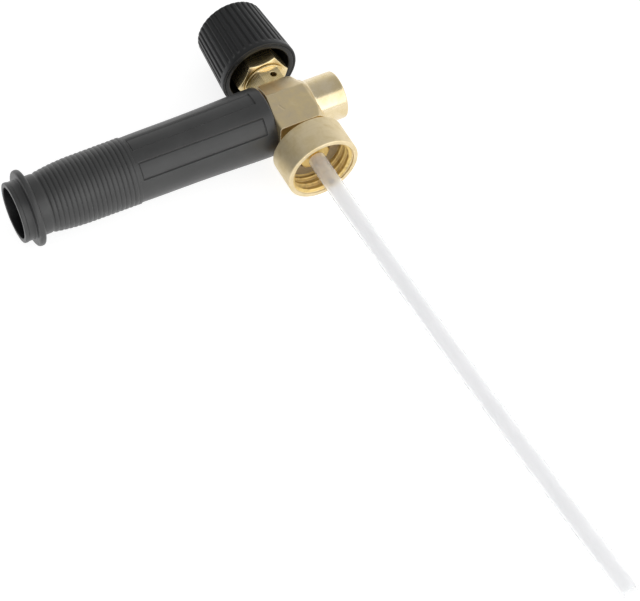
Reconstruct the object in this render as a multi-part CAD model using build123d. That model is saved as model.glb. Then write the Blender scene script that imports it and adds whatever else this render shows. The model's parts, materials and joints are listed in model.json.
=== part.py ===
from build123d import *
import os
from math import cos, pi, radians, tan

os.makedirs("parts", exist_ok=True)

# Foam injector head for a pressure washer.
# X is the water axis (foam barrel at -X, water inlet at +X), Y the suction and valve axis
# (knob at +Y, bottle cap and dip tube at -Y), Z is up: the head lies on its side.
# Every part is drawn about the tee's centre, where the two axes cross, and is moved at
# the end so that the origin is the centre of the inlet mouth. All sizes are millimetres.

# ---- fits -------------------------------------------------------------------
FIT = 0.05                    # radial clearance of threads, seals and running fits

# ---- body forging -----------------------------------------------------------
INLET_REACH = 26.2            # tee centre to inlet mouth
INLET_RADIUS = 11.13
INLET_THREAD_RADIUS = 5.7     # G 1/4 core hole
INLET_THREAD_DEPTH = 13.6
INLET_MOUTH_ROUND = 0.9
INLET_ROOT = ((0, 1.1), (0.5, 0.4), (1.4, 0))   # fillet to the block: distance, extra radius
BLOCK_RIGHT = 10.4            # face towards the inlet
BLOCK_HALF_HEIGHT = 12.5      # wrench flats, up and down
BLOCK_TOP = 12.6              # seat of the valve bonnet
BLOCK_BOTTOM = -17.0
BLOCK_LEFT_SIDE = (           # curved side towards the barrel: position, height
    (-11.7, BLOCK_BOTTOM),
    (-11.4, -10.7),
    (-10.2, -4.2),
    (-9.0, 3.0),
    (-8.6, BLOCK_TOP),
)
BLOCK_BELLY = (               # turned side towards the inlet: height, radius
    (BLOCK_BOTTOM, 14.4),
    (-14, 15.1),
    (-10, 15.8),
    (-4, 16.4),
    (1, 16.4),
    (5, 15.8),
    (8, 14.7),
    (10.5, 13.6),
    (BLOCK_TOP, 12.2),
)
BLOCK_LOWER_ROUND = 1.5
SHOULDER_START = 3.0          # where the flats turn into the tapered shoulder
SHOULDER_TOP_HALF_HEIGHT = 9.2
SHOULDER_START_ROUND = 1.5
SHOULDER_TOP_ROUND = 5.5
BARREL_GAP = 0.15             # between the block's side and the barrel's end
BOTTLE_NECK_RADIUS = 9.6
CHAMBER_RADIUS = 4.0
CHAMBER_LEFT = -6.0
CHAMBER_RIGHT = 5.0
JET_BORE_RADIUS = 4.5
SUCTION_RADIUS = 1.8
SUCTION_END = -12.5

# ---- barrel and its inner parts ---------------------------------------------
SPIGOT_RADIUS = 11.0          # body thread that the barrel screws on
SPIGOT_END = -31.0
SPIGOT_CHAMFER = 0.8
BARREL_END = -10.9            # end face next to the body
BARREL_SEAL_LEFT = -14.3      # counterbore for the barrel's seal
BARREL_SEAL_RADIUS = 12.35
BARREL_SEAL_WIDTH = 2.0
MOUTH = -131.85
MOUTH_BORE_RADIUS = 11.67
MOUTH_LIP_RADIUS = 13.8
MOUTH_CHAMFER = 0.5
FLANGE_CENTRE = -125.05
FLANGE_THICKNESS = 3.1
FLANGE_RADIUS = 17.4
NECK_RADIUS = 13.5
NECK_END = -119.2
RIB_START = -118.0
RIB_COUNT = 18
RIB_PITCH = 2.17
RIB_DEPTH = 0.38
GRIP_RADIUS_START = 13.65     # over the first rib
GRIP_RADIUS_END = 15.42       # over the last rib
SWELL_SHARE = 0.83            # part of the growth that comes early
SWELL_END = 0.45              # where the early swell ends, as a share of the ribs
GRIP_STEP = -77.5
SWELL_RADIUS = 16.15          # widest, near the body
END_ROUND = 2.8
END_ROUND_SAG = 0.3           # sideways sag of a quarter round, as a share of its radius
PANEL_SECTION = (             # smooth grip section: position, radius
    (GRIP_STEP, 14.95),
    (-60, 15.17),
    (-40, 15.45),
    (-27, 15.8),
    (-19, 16.1),
    (-13.7, SWELL_RADIUS),
)
PANEL_START = -76.3
PANEL_END = -16.2
PANEL_DEPTH = 0.4
PANEL_WIDTH = 8.5
PANEL_CORNER = 0.6
PANEL_ANGLES = (8.7, -46.3, 188.7, 133.7)   # panel centres, from +Z towards +Y
CARTRIDGE_STOP = -55.9        # step in the bore that stops the mesh cartridge
CARTRIDGE_LENGTH = 28.0
CARTRIDGE_WALL = 1.0
CARTRIDGE_LIP = 3.0           # inward lip that stops the gauze
CARTRIDGE_LIP_THICKNESS = 1.5
CARTRIDGE_PLAY = 0.1
MIXING_TUBE_RADIUS = 6.0
MIXING_TUBE_END = -36.0
FUNNEL_RADIUS = 3.6
DIFFUSER_RADIUS = 3.9
THROAT_LEFT = -20.0
THROAT_RIGHT = -11.0
RETAINER_THICKNESS = 2.5
RETAINER_RIM = 1.6
RETAINER_HUB_RADIUS = 2.2
RETAINER_SPOKE = 1.6
THROAT_RADIUS = 1.75
SEAL_DEPTH = 1.1              # radial depth of the seal grooves
SEAL_WIDTH = 1.6
TUBE_SEAL = -10.2             # mixing tube's seal groove, end nearest the chamber
JET_SEAL = 6.2                # jet's seal groove, end nearest the chamber
JET_TIP = 2.8
JET_TIP_RADIUS = 1.4
JET_CONE_RADIUS = 2.6
JET_BORE = 1.8
JET_SOCKET_DEPTH = 3.0
JET_ORIFICE_RADIUS = 0.6
JET_SOCKET_FLATS = 5.0
SEAL_PLAY = 0.02              # radial gap of a seal that is drawn as fitted
GROOVE_PLAY = 0.05            # end gap of a seal in its groove

# ---- air valve --------------------------------------------------------------
BONNET_FLATS = 17.0
BONNET_HEX_TOP = 20.5
BONNET_COLLAR_TOP = 21.4      # round collar between the hexagons
BONNET_COLLAR_RADIUS = 10.1
BONNET_FACE_ANGLE = 5.0       # front face, from +Z towards +X
BONNET_BORE_RADIUS = 3.3
BONNET_SPIGOT_RADIUS = 6.0
BONNET_SPIGOT_BOTTOM = 6.6
BONNET_THREAD_RADIUS = 8.0
BONNET_TOP = 28.8
BONNET_SEAL_DEPTH = 1.2
BONNET_SEAL_HEIGHT = 1.4
STEM_THREAD_BOTTOM = 22.6     # where the bonnet's bore widens to the stem thread
AIR_HOLE_HEIGHT = 16.8
AIR_HOLE_ANGLE = 13.0         # from +Z towards +X
AIR_HOLE_RADIUS = 1.5
SEAT_HOLE_RADIUS = 1.6
SEAT_THICKNESS = 1.4
GLAND_FLATS = 22.0
GLAND_BOTTOM = 21.7
GLAND_TOP = 32.3
GLAND_ROOF = 2.0
GLAND_FACE_ANGLE = -4.0
STEM_RADIUS = 4.0
STEM_TOP = 50.0
STEM_THREAD_RADIUS = 5.0
STEM_WAIST_RADIUS = 2.6
STEM_CHAMFER = 0.5
STEM_FLAT = 3.4               # height of the drive flat above the stem's axis
NEEDLE_RADIUS = 2.0
NEEDLE_TIP = 5.4
NEEDLE_TIP_RADIUS = 0.4
NEEDLE_CONE_TOP = 10.4
PISTON_RADIUS = 3.2
PISTON_BOTTOM = 18.3
PISTON_TOP = 20.1
PISTON_GROOVE_RADIUS = 2.2
PISTON_LAND = 0.4
STEM_COLLAR_BOTTOM = 23.7
STEM_COLLAR_TOP = 26.2

# ---- knob -------------------------------------------------------------------
KNOB_BOTTOM = 26.2
KNOB_TOP = 57.95
KNOB_RIM_RADIUS = 18.75
KNOB_TOP_RADIUS = 16.5
KNOB_OPENING_RADIUS = 14.9
KNOB_ROOF = 52.2
HUB_RADIUS = 6.5
HUB_BOTTOM = 36.0
KNOB_GROOVES = 36
KNOB_GROOVE_RADIUS = 0.85
KNOB_GROOVE_DEPTH = 0.6
KNOB_GROOVE_START = 29.4
KNOB_GROOVE_PHASE = 9.0
KNOB_TOP_ROUND = 1.3
KNOB_RIM_ROUND = 1.5
KNOB_SKIRT_DRAFT = 0.7
KNOB_CAP_RADIUS = 9.0
KNOB_CAP_SEAT = 55.9
KNOB_CAP_SUNK = 0.3
SCREW_RADIUS = 1.5
SCREW_HEAD_RADIUS = 3.0
SCREW_HEAD_HEIGHT = 2.2
SCREW_SEAT = 52.4
SCREW_REACH = 8.0             # thread engaged in the stem
SCREW_RECESS = (3.4, 2.4, 0.7)   # one arm of the cross recess

# ---- bottle cap, barb and dip tube ------------------------------------------
CAP_RADIUS = 17.2
CAP_TOP = -20.7
CAP_RIM = -36.4
CAP_ROOF = 3.0
CAP_CHAMFER = 0.5
CAP_MOUTH_CHAMFER = 1.4
CAP_THREAD_RADIUS = 13.6      # crest of the internal thread
CAP_THREAD_ROOT = 14.9
CAP_THREAD_PITCH = 3.6
CAP_THREAD_TURNS = 3
CAP_THREAD_START = 2.6        # rim to the first groove's centre
CAP_THREAD_WIDTH = 2.6        # groove width at the crest
GASKET_THICKNESS = 2.0
STUB_RADIUS = 6.5             # body stub that passes through the cap's roof
BARB_FLATS = 14.0
BARB_COLLAR = 4.0
BARB_THREAD_RADIUS = 4.0
BARB_BORE_RADIUS = 1.6
BARB_END = -44.0
BARB_COUNT = 4
BARB_SPACING = 3.2
BARB_HEIGHT = 0.5
BARB_RAMP = 2.56
BARB_FIRST = 1.2              # tube end to the first barb
BARB_THREAD_TOP = -14.0
TUBE_RADIUS = 4.0
TUBE_BORE_RADIUS = 3.0
TUBE_TOP = -29.5
TUBE_LINE = (                 # centre line of the tube: height, sideways drift
    (TUBE_TOP, 0.0),
    (-46.0, 0.0),
    (-92.0, 1.15),
    (-139.0, 2.45),
    (-184.0, 4.15),
    (-226.0, 6.15),
    (-272.2, 8.55),
)

ALONG_X = Rot(0, 90, 0)
ALONG_Y = Rot(-90, 0, 0)
FROM_START = (Align.CENTER, Align.CENTER, Align.MIN)


# ---- helpers ----------------------------------------------------------------
def rod(direction, radius, start, end):
    """Plain cylinder on one of the two axes."""
    return direction * Pos(0, 0, start) * Cylinder(radius, end - start, align=FROM_START)


def ring(direction, outer, inner, start, end):
    """Plain ring on one of the two axes."""
    return rod(direction, outer, start, end) - rod(direction, inner, start - 1, end + 1)


def turned_x(*points):
    """Solid of revolution about X from (position, radius) points."""
    return revolve(make_face(Polyline(*points, close=True)), Axis.X)


def turned_y(*points):
    """Solid of revolution about Y from (position, radius) points."""
    profile = [(radius, position) for position, radius in points]
    return revolve(make_face(Polyline(*profile, close=True)), Axis.Y)


def hex_y(flats, start, end, face_angle):
    """Hexagonal prism on Y with one face turned from +Z towards +X."""
    outline = RegularPolygon(flats / 2, 6, major_radius=False, rotation=face_angle)
    return ALONG_Y * Pos(0, 0, start) * extrude(outline, end - start)


def hex_x(flats, start, end):
    """Hexagonal prism on X."""
    outline = RegularPolygon(flats / 2, 6, major_radius=False)
    return ALONG_X * Pos(0, 0, start) * extrude(outline, end - start)


def nut_chamfer_y(flats, start, end, upper=True):
    """Body of revolution that trims a hexagon's lower, or both, corners at 30 degrees."""
    corner = flats / 2 / cos(pi / 6) + 0.1
    face = flats / 2 * 0.97
    rise = (corner - face) * tan(pi / 6)
    low = [(start, 0), (start, face), (start + rise, corner)]
    high = [(end - rise, corner), (end, face), (end, 0)] if upper else [(end, corner), (end, 0)]
    return turned_y(*low, *high)


# ---- body -------------------------------------------------------------------
def block_section(height, half_height, corner):
    """Rounded rectangle across the suction axis."""
    left = BLOCK_LEFT_SIDE[0][0]
    outline = Pos((left + BLOCK_RIGHT) / 2, 0) * Rectangle(BLOCK_RIGHT - left, 2 * half_height)
    return Pos(0, height, 0) * ALONG_Y * fillet(outline.vertices(), corner)


def block_blank():
    """Forging between its flats, with the tapered shoulder under the bonnet."""
    start = block_section(SHOULDER_START, BLOCK_HALF_HEIGHT, SHOULDER_START_ROUND)
    top = block_section(BLOCK_TOP, SHOULDER_TOP_HALF_HEIGHT, SHOULDER_TOP_ROUND)
    lower = extrude(start, SHOULDER_START - BLOCK_BOTTOM, dir=(0, -1, 0))
    return lower + loft([start, top], ruled=True)


def block_plan():
    """Block seen from above, with its curved side towards the barrel."""
    with BuildPart() as plan:
        with BuildSketch():
            with BuildLine():
                Spline(*BLOCK_LEFT_SIDE)
                Polyline(
                    BLOCK_LEFT_SIDE[-1],
                    (BLOCK_RIGHT, BLOCK_TOP),
                    (BLOCK_RIGHT, BLOCK_BOTTOM),
                    BLOCK_LEFT_SIDE[0],
                )
            make_face()
        extrude(amount=BLOCK_HALF_HEIGHT, both=True)
    return plan.part


def block_belly():
    """Turned outside that trims the block towards the inlet; its other half is left whole."""
    with BuildPart() as belly:
        with BuildSketch():
            with BuildLine():
                Spline(*[(radius, height) for height, radius in BLOCK_BELLY])
                Polyline(
                    (BLOCK_BELLY[-1][1], BLOCK_TOP),
                    (0, BLOCK_TOP),
                    (0, BLOCK_BOTTOM),
                    (BLOCK_BELLY[0][1], BLOCK_BOTTOM),
                )
            make_face()
        revolve(axis=Axis.Y)
    height = BLOCK_TOP - BLOCK_BOTTOM
    half = Pos(-BLOCK_HALF_HEIGHT, (BLOCK_TOP + BLOCK_BOTTOM) / 2, 0) * Box(
        2 * BLOCK_HALF_HEIGHT, height, 2 * BLOCK_HALF_HEIGHT)
    return belly.part + half


def barrel_room():
    """What the block leaves free for the barrel's rounded end."""
    outer = SWELL_RADIUS + BARREL_GAP
    face = BARREL_END + BARREL_GAP
    room = rod(ALONG_X, outer, face - 10, face)
    return fillet(room.edges().sort_by(Axis.X)[-1], END_ROUND + BARREL_GAP)


def brass_body():
    """Forged tee: block, inlet boss, barrel spigot, bottle neck and all the passages."""
    block = block_blank() & block_plan() & block_belly()
    block = block - barrel_room()
    inlet = rod(ALONG_X, INLET_RADIUS, 0, INLET_REACH)
    inlet = fillet(inlet.edges().sort_by(Axis.X)[-1], INLET_MOUTH_ROUND)
    root_line = [(BLOCK_RIGHT + reach, INLET_RADIUS + extra) for reach, extra in INLET_ROOT]
    root = turned_x(
        (BLOCK_RIGHT - 1, 0),
        (BLOCK_RIGHT - 1, root_line[0][1]),
        *root_line,
        (root_line[-1][0], 0),
    )
    spigot = rod(ALONG_X, SPIGOT_RADIUS, SPIGOT_END, 0)
    spigot = chamfer(spigot.edges().sort_by(Axis.X)[0], SPIGOT_CHAMFER)
    neck = rod(ALONG_Y, BOTTLE_NECK_RADIUS, CAP_TOP, 0)
    stub = rod(ALONG_Y, STUB_RADIUS, CAP_TOP - CAP_ROOF + 0.1, 0)
    solid = block + inlet + root + spigot + neck + stub
    return solid - water_passages() - cross_passages()


def water_passages():
    """Bores along X: inlet thread, jet seat, mixing chamber and mixing tube seat."""
    thread_end = INLET_REACH - INLET_THREAD_DEPTH
    inlet = rod(ALONG_X, INLET_THREAD_RADIUS, thread_end, INLET_REACH + 1)
    jet_seat = rod(ALONG_X, JET_BORE_RADIUS, CHAMBER_RIGHT, thread_end + 1)
    chamber = rod(ALONG_X, CHAMBER_RADIUS, CHAMBER_LEFT - 1, CHAMBER_RIGHT + 1)
    tube_seat = rod(ALONG_X, MIXING_TUBE_RADIUS, SPIGOT_END - 1, CHAMBER_LEFT)
    return inlet + jet_seat + chamber + tube_seat


def cross_passages():
    """Bores along Y: bonnet seat, air port, suction port and barb thread."""
    bonnet_seat = rod(ALONG_Y, BONNET_SPIGOT_RADIUS + FIT, BONNET_SPIGOT_BOTTOM - 0.1, BLOCK_TOP + 1)
    seal_seat_radius = BONNET_SPIGOT_RADIUS + BONNET_SEAL_DEPTH
    seal_seat = rod(ALONG_Y, seal_seat_radius, BLOCK_TOP - BONNET_SEAL_HEIGHT, BLOCK_TOP + 1)
    air_port = rod(ALONG_Y, SEAT_HOLE_RADIUS, 0, BONNET_SPIGOT_BOTTOM)
    suction = rod(ALONG_Y, SUCTION_RADIUS, SUCTION_END, 0)
    barb_thread = rod(ALONG_Y, BARB_THREAD_RADIUS + FIT, CAP_TOP - CAP_ROOF - 1, SUCTION_END + 0.5)
    return bonnet_seat + seal_seat + air_port + suction + barb_thread


# ---- barrel -----------------------------------------------------------------
def grip_radius(x):
    """Radius over the ribs: a quick swell behind the flange, then a slow taper."""
    along = (x - RIB_START) / (RIB_COUNT * RIB_PITCH)
    swell = 1 - (1 - min(along / SWELL_END, 1)) ** 2
    growth = GRIP_RADIUS_END - GRIP_RADIUS_START
    return GRIP_RADIUS_START + growth * (SWELL_SHARE * swell + (1 - SWELL_SHARE) * along)


def barrel_blank():
    """Outside of the barrel as a solid of revolution, mouth to body end."""
    flange_left = FLANGE_CENTRE - FLANGE_THICKNESS / 2
    flange_right = FLANGE_CENTRE + FLANGE_THICKNESS / 2
    rim = FLANGE_RADIUS - FLANGE_THICKNESS / 2
    valleys = [RIB_START + i * RIB_PITCH for i in range(RIB_COUNT + 1)]
    rib_end = valleys[-1]
    end_face_radius = SWELL_RADIUS - END_ROUND
    with BuildPart() as blank:
        with BuildSketch():
            with BuildLine():
                Polyline(
                    (BARREL_END, end_face_radius),
                    (BARREL_END, 0),
                    (MOUTH, 0),
                    (MOUTH, MOUTH_LIP_RADIUS - MOUTH_CHAMFER),
                    (MOUTH + MOUTH_CHAMFER, MOUTH_LIP_RADIUS),
                    (flange_left, MOUTH_LIP_RADIUS),
                    (flange_left, rim),
                )
                ThreePointArc((flange_left, rim), (FLANGE_CENTRE, FLANGE_RADIUS), (flange_right, rim))
                Polyline(
                    (flange_right, rim),
                    (flange_right, NECK_RADIUS),
                    (NECK_END, NECK_RADIUS),
                    (RIB_START, grip_radius(RIB_START) - RIB_DEPTH),
                )
                for left, right in zip(valleys, valleys[1:]):
                    crest = (left + right) / 2
                    ThreePointArc(
                        (left, grip_radius(left) - RIB_DEPTH),
                        (crest, grip_radius(crest)),
                        (right, grip_radius(right) - RIB_DEPTH),
                    )
                Polyline(
                    (rib_end, grip_radius(rib_end) - RIB_DEPTH),
                    (rib_end + 0.3, GRIP_RADIUS_END),
                    (GRIP_STEP, GRIP_RADIUS_END),
                    PANEL_SECTION[0],
                )
                Spline(*PANEL_SECTION)
                ThreePointArc(
                    PANEL_SECTION[-1],
                    (BARREL_END - END_ROUND_SAG * END_ROUND, SWELL_RADIUS - END_ROUND_SAG * END_ROUND),
                    (BARREL_END, end_face_radius),
                )
            make_face()
        revolve(axis=Axis.X)
    return blank.part


def panel_recesses():
    """Shallow recesses of the grip panels, their floors parallel to the outside."""
    first, last = PANEL_SECTION[0][0], PANEL_SECTION[-1][0]
    outside = SWELL_RADIUS + 2
    with BuildPart() as slab:
        with BuildSketch():
            with BuildLine():
                Spline(*[(x, radius - PANEL_DEPTH) for x, radius in PANEL_SECTION])
                Polyline(
                    (last, PANEL_SECTION[-1][1] - PANEL_DEPTH),
                    (last, outside),
                    (first, outside),
                    (first, PANEL_SECTION[0][1] - PANEL_DEPTH),
                )
            make_face()
        revolve(axis=Axis.X)
    window = Pos((PANEL_START + PANEL_END) / 2, 0, outside / 2) * Box(
        PANEL_END - PANEL_START, PANEL_WIDTH, outside + 4)
    window = fillet(window.edges().filter_by(Axis.Z), PANEL_CORNER)
    return [slab.part & (Rot(-angle, 0, 0) * window) for angle in PANEL_ANGLES]


def foam_barrel():
    """Black moulded barrel and hand grip with its flange, ribs and grip panels."""
    bore = turned_x(
        (MOUTH - 1, 0),
        (MOUTH - 1, MOUTH_BORE_RADIUS + MOUTH_CHAMFER),
        (MOUTH, MOUTH_BORE_RADIUS + MOUTH_CHAMFER),
        (MOUTH + MOUTH_CHAMFER, MOUTH_BORE_RADIUS),
        (CARTRIDGE_STOP, MOUTH_BORE_RADIUS),
        (CARTRIDGE_STOP, SPIGOT_RADIUS + FIT),
        (BARREL_SEAL_LEFT, SPIGOT_RADIUS + FIT),
        (BARREL_SEAL_LEFT, BARREL_SEAL_RADIUS + FIT),
        (BARREL_END + 1, BARREL_SEAL_RADIUS + FIT),
        (BARREL_END + 1, 0),
    )
    return barrel_blank() - panel_recesses() - bore


def barrel_o_ring():
    """Seal between the barrel's counterbore and the body's spigot."""
    right = BARREL_SEAL_LEFT + BARREL_SEAL_WIDTH
    return ring(ALONG_X, BARREL_SEAL_RADIUS, SPIGOT_RADIUS + SEAL_PLAY, BARREL_SEAL_LEFT, right)


def mixing_tube():
    """Brass diffuser: funnel, throat and widening outlet, with a groove for its seal."""
    outer = MIXING_TUBE_RADIUS - FIT
    groove = MIXING_TUBE_RADIUS - SEAL_DEPTH
    return turned_x(
        (CHAMBER_LEFT, FUNNEL_RADIUS),
        (CHAMBER_LEFT, outer),
        (TUBE_SEAL, outer),
        (TUBE_SEAL, groove),
        (TUBE_SEAL - SEAL_WIDTH, groove),
        (TUBE_SEAL - SEAL_WIDTH, outer),
        (MIXING_TUBE_END + 1, outer),
        (MIXING_TUBE_END, outer - 1),
        (MIXING_TUBE_END, DIFFUSER_RADIUS),
        (THROAT_LEFT, THROAT_RADIUS),
        (THROAT_RIGHT, THROAT_RADIUS),
    )


def mixing_tube_o_ring():
    """Seal in the mixing tube's groove."""
    outer = MIXING_TUBE_RADIUS - SEAL_PLAY
    inner = MIXING_TUBE_RADIUS - SEAL_DEPTH + SEAL_PLAY
    left = TUBE_SEAL - SEAL_WIDTH + GROOVE_PLAY
    return ring(ALONG_X, outer, inner, left, TUBE_SEAL - GROOVE_PLAY)


def jet_nozzle():
    """Screwed jet with a hexagon socket, a seal groove and a fine orifice."""
    outer = JET_BORE_RADIUS - FIT
    groove = JET_BORE_RADIUS - SEAL_DEPTH
    back = INLET_REACH - INLET_THREAD_DEPTH - 0.3
    body = turned_x(
        (JET_TIP, 0),
        (JET_TIP, JET_TIP_RADIUS),
        (CHAMBER_RIGHT + 0.1, JET_CONE_RADIUS),
        (CHAMBER_RIGHT + 0.1, outer),
        (JET_SEAL, outer),
        (JET_SEAL, groove),
        (JET_SEAL + SEAL_WIDTH, groove),
        (JET_SEAL + SEAL_WIDTH, outer),
        (back, outer),
        (back, 0),
    )
    funnel = turned_x(
        (JET_TIP - 1, 0),
        (JET_TIP - 1, JET_ORIFICE_RADIUS),
        (JET_TIP + 3, JET_ORIFICE_RADIUS),
        (JET_TIP + 5, JET_BORE),
        (back - JET_SOCKET_DEPTH + 0.2, JET_BORE),
        (back - JET_SOCKET_DEPTH + 0.2, 0),
    )
    return body - funnel - hex_x(JET_SOCKET_FLATS, back - JET_SOCKET_DEPTH, back + 1)


def jet_o_ring():
    """Seal in the jet's groove."""
    outer = JET_BORE_RADIUS - SEAL_PLAY
    inner = JET_BORE_RADIUS - SEAL_DEPTH + SEAL_PLAY
    right = JET_SEAL + SEAL_WIDTH - GROOVE_PLAY
    return ring(ALONG_X, outer, inner, JET_SEAL + GROOVE_PLAY, right)


def mesh_cartridge():
    """Plastic sleeve that holds the gauze against the step in the barrel's bore."""
    outer = MOUTH_BORE_RADIUS - FIT
    end = CARTRIDGE_STOP - CARTRIDGE_PLAY
    start = end - CARTRIDGE_LENGTH
    lip = end - CARTRIDGE_LIP_THICKNESS
    return turned_x(
        (start, outer - CARTRIDGE_WALL),
        (start, outer),
        (end, outer),
        (end, outer - CARTRIDGE_LIP),
        (lip, outer - CARTRIDGE_LIP),
        (lip, outer - CARTRIDGE_WALL),
    )


def foam_gauze():
    """Rolled wire gauze that whips the mixture into foam, as one plug."""
    start = CARTRIDGE_STOP - CARTRIDGE_LENGTH + RETAINER_THICKNESS
    end = CARTRIDGE_STOP - CARTRIDGE_LIP_THICKNESS - 2 * CARTRIDGE_PLAY
    return rod(ALONG_X, gauze_radius(), start, end)


def gauze_radius():
    """Radius of what slides inside the cartridge."""
    return MOUTH_BORE_RADIUS - CARTRIDGE_WALL - 2 * FIT


def mesh_retainer():
    """Spoked ring that snaps into the cartridge and keeps the gauze in."""
    start = CARTRIDGE_STOP - CARTRIDGE_PLAY - CARTRIDGE_LENGTH
    end = start + RETAINER_THICKNESS
    outer = gauze_radius()
    rim = ring(ALONG_X, outer, outer - RETAINER_RIM, start, end)
    hub = rod(ALONG_X, RETAINER_HUB_RADIUS, start, end)
    spoke = Pos((start + end) / 2, 0, outer / 2) * Box(RETAINER_THICKNESS, RETAINER_SPOKE, outer - 1)
    spokes = [Rot(120 * i, 0, 0) * spoke for i in range(3)]
    return rim + hub + spokes


# ---- air valve --------------------------------------------------------------
def valve_bonnet():
    """Lower hexagon with the air hole, the stem thread inside and the gland thread outside."""
    hexagon = hex_y(BONNET_FLATS, BLOCK_TOP, BONNET_HEX_TOP, BONNET_FACE_ANGLE)
    collar = rod(ALONG_Y, BONNET_COLLAR_RADIUS, BONNET_HEX_TOP, BONNET_COLLAR_TOP)
    spigot = rod(ALONG_Y, BONNET_SPIGOT_RADIUS, BONNET_SPIGOT_BOTTOM, BLOCK_TOP)
    thread = rod(ALONG_Y, BONNET_THREAD_RADIUS - FIT, BONNET_COLLAR_TOP, BONNET_TOP)
    thread = chamfer(thread.edges().sort_by(Axis.Y)[-1], 0.6)
    bore = rod(ALONG_Y, BONNET_BORE_RADIUS, BONNET_SPIGOT_BOTTOM - 1, BONNET_TOP)
    stem_thread = rod(ALONG_Y, STEM_THREAD_RADIUS + FIT, STEM_THREAD_BOTTOM, BONNET_TOP + 1)
    air_hole = Cylinder(AIR_HOLE_RADIUS, BONNET_FLATS, align=FROM_START)
    air_hole = Pos(0, AIR_HOLE_HEIGHT, 0) * Rot(0, AIR_HOLE_ANGLE, 0) * air_hole
    return hexagon + collar + spigot + thread - bore - stem_thread - air_hole


def bonnet_o_ring():
    """Seal under the bonnet's hexagon."""
    outer = BONNET_SPIGOT_RADIUS + BONNET_SEAL_DEPTH - FIT
    inner = BONNET_SPIGOT_RADIUS + SEAL_PLAY
    bottom = BLOCK_TOP - BONNET_SEAL_HEIGHT + GROOVE_PLAY
    return ring(ALONG_Y, outer, inner, bottom, BLOCK_TOP - GROOVE_PLAY)


def air_valve_seat():
    """Seat ring that the needle closes."""
    top = BONNET_SPIGOT_BOTTOM + SEAT_THICKNESS
    return ring(ALONG_Y, BONNET_BORE_RADIUS - FIT, SEAT_HOLE_RADIUS, BONNET_SPIGOT_BOTTOM, top)


def gland_nut():
    """Upper hexagon, screwed over the bonnet to press the packing on the stem."""
    hexagon = hex_y(GLAND_FLATS, GLAND_BOTTOM, GLAND_TOP, GLAND_FACE_ANGLE)
    hexagon = hexagon & nut_chamfer_y(GLAND_FLATS, GLAND_BOTTOM, GLAND_TOP)
    thread = rod(ALONG_Y, BONNET_THREAD_RADIUS, GLAND_BOTTOM - 1, GLAND_TOP - GLAND_ROOF)
    stem_hole = rod(ALONG_Y, STEM_RADIUS + FIT, GLAND_BOTTOM, GLAND_TOP + 1)
    return hexagon - thread - stem_hole


def gland_packing():
    """Packing ring between the bonnet and the gland nut's roof."""
    top = GLAND_TOP - GLAND_ROOF
    outer = BONNET_THREAD_RADIUS - 2 * FIT
    return ring(ALONG_Y, outer, STEM_RADIUS + FIT, BONNET_TOP + GROOVE_PLAY, top - GROOVE_PLAY)


def valve_stem():
    """Needle, sealing piston, travelling thread and the flatted shaft that carries the knob."""
    shape = turned_y(
        (NEEDLE_TIP, 0),
        (NEEDLE_TIP, NEEDLE_TIP_RADIUS),
        (NEEDLE_CONE_TOP, NEEDLE_RADIUS),
        (PISTON_BOTTOM, NEEDLE_RADIUS),
        (PISTON_BOTTOM, PISTON_RADIUS),
        (PISTON_BOTTOM + PISTON_LAND, PISTON_RADIUS),
        (PISTON_BOTTOM + PISTON_LAND, PISTON_GROOVE_RADIUS),
        (PISTON_TOP - PISTON_LAND, PISTON_GROOVE_RADIUS),
        (PISTON_TOP - PISTON_LAND, PISTON_RADIUS),
        (PISTON_TOP, PISTON_RADIUS),
        (PISTON_TOP, STEM_WAIST_RADIUS),
        (STEM_COLLAR_BOTTOM, STEM_WAIST_RADIUS),
        (STEM_COLLAR_BOTTOM, STEM_THREAD_RADIUS),
        (STEM_COLLAR_TOP, STEM_THREAD_RADIUS),
        (STEM_COLLAR_TOP, STEM_RADIUS),
        (STEM_TOP - STEM_CHAMFER, STEM_RADIUS),
        (STEM_TOP, STEM_RADIUS - STEM_CHAMFER),
        (STEM_TOP, 0),
    )
    tapped_hole = rod(ALONG_Y, SCREW_RADIUS + FIT, STEM_TOP - SCREW_REACH - 0.5, STEM_TOP + 1)
    flat = Pos(0, (HUB_BOTTOM + STEM_TOP + 1) / 2, STEM_FLAT + 2) * Box(12, STEM_TOP + 1 - HUB_BOTTOM, 4)
    return shape - tapped_hole - flat


def stem_o_ring():
    """Seal in the piston's groove; it travels with the stem."""
    outer = BONNET_BORE_RADIUS - SEAL_PLAY
    bottom = PISTON_BOTTOM + PISTON_LAND + GROOVE_PLAY
    top = PISTON_TOP - PISTON_LAND - GROOVE_PLAY
    return ring(ALONG_Y, outer, PISTON_GROOVE_RADIUS + SEAL_PLAY, bottom, top)


# ---- knob -------------------------------------------------------------------
def knob_side_radius(y):
    """Radius over the knob's ribs at a height."""
    along = (y - KNOB_BOTTOM) / (KNOB_TOP - KNOB_BOTTOM)
    return KNOB_RIM_RADIUS + (KNOB_TOP_RADIUS - KNOB_RIM_RADIUS) * along


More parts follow.
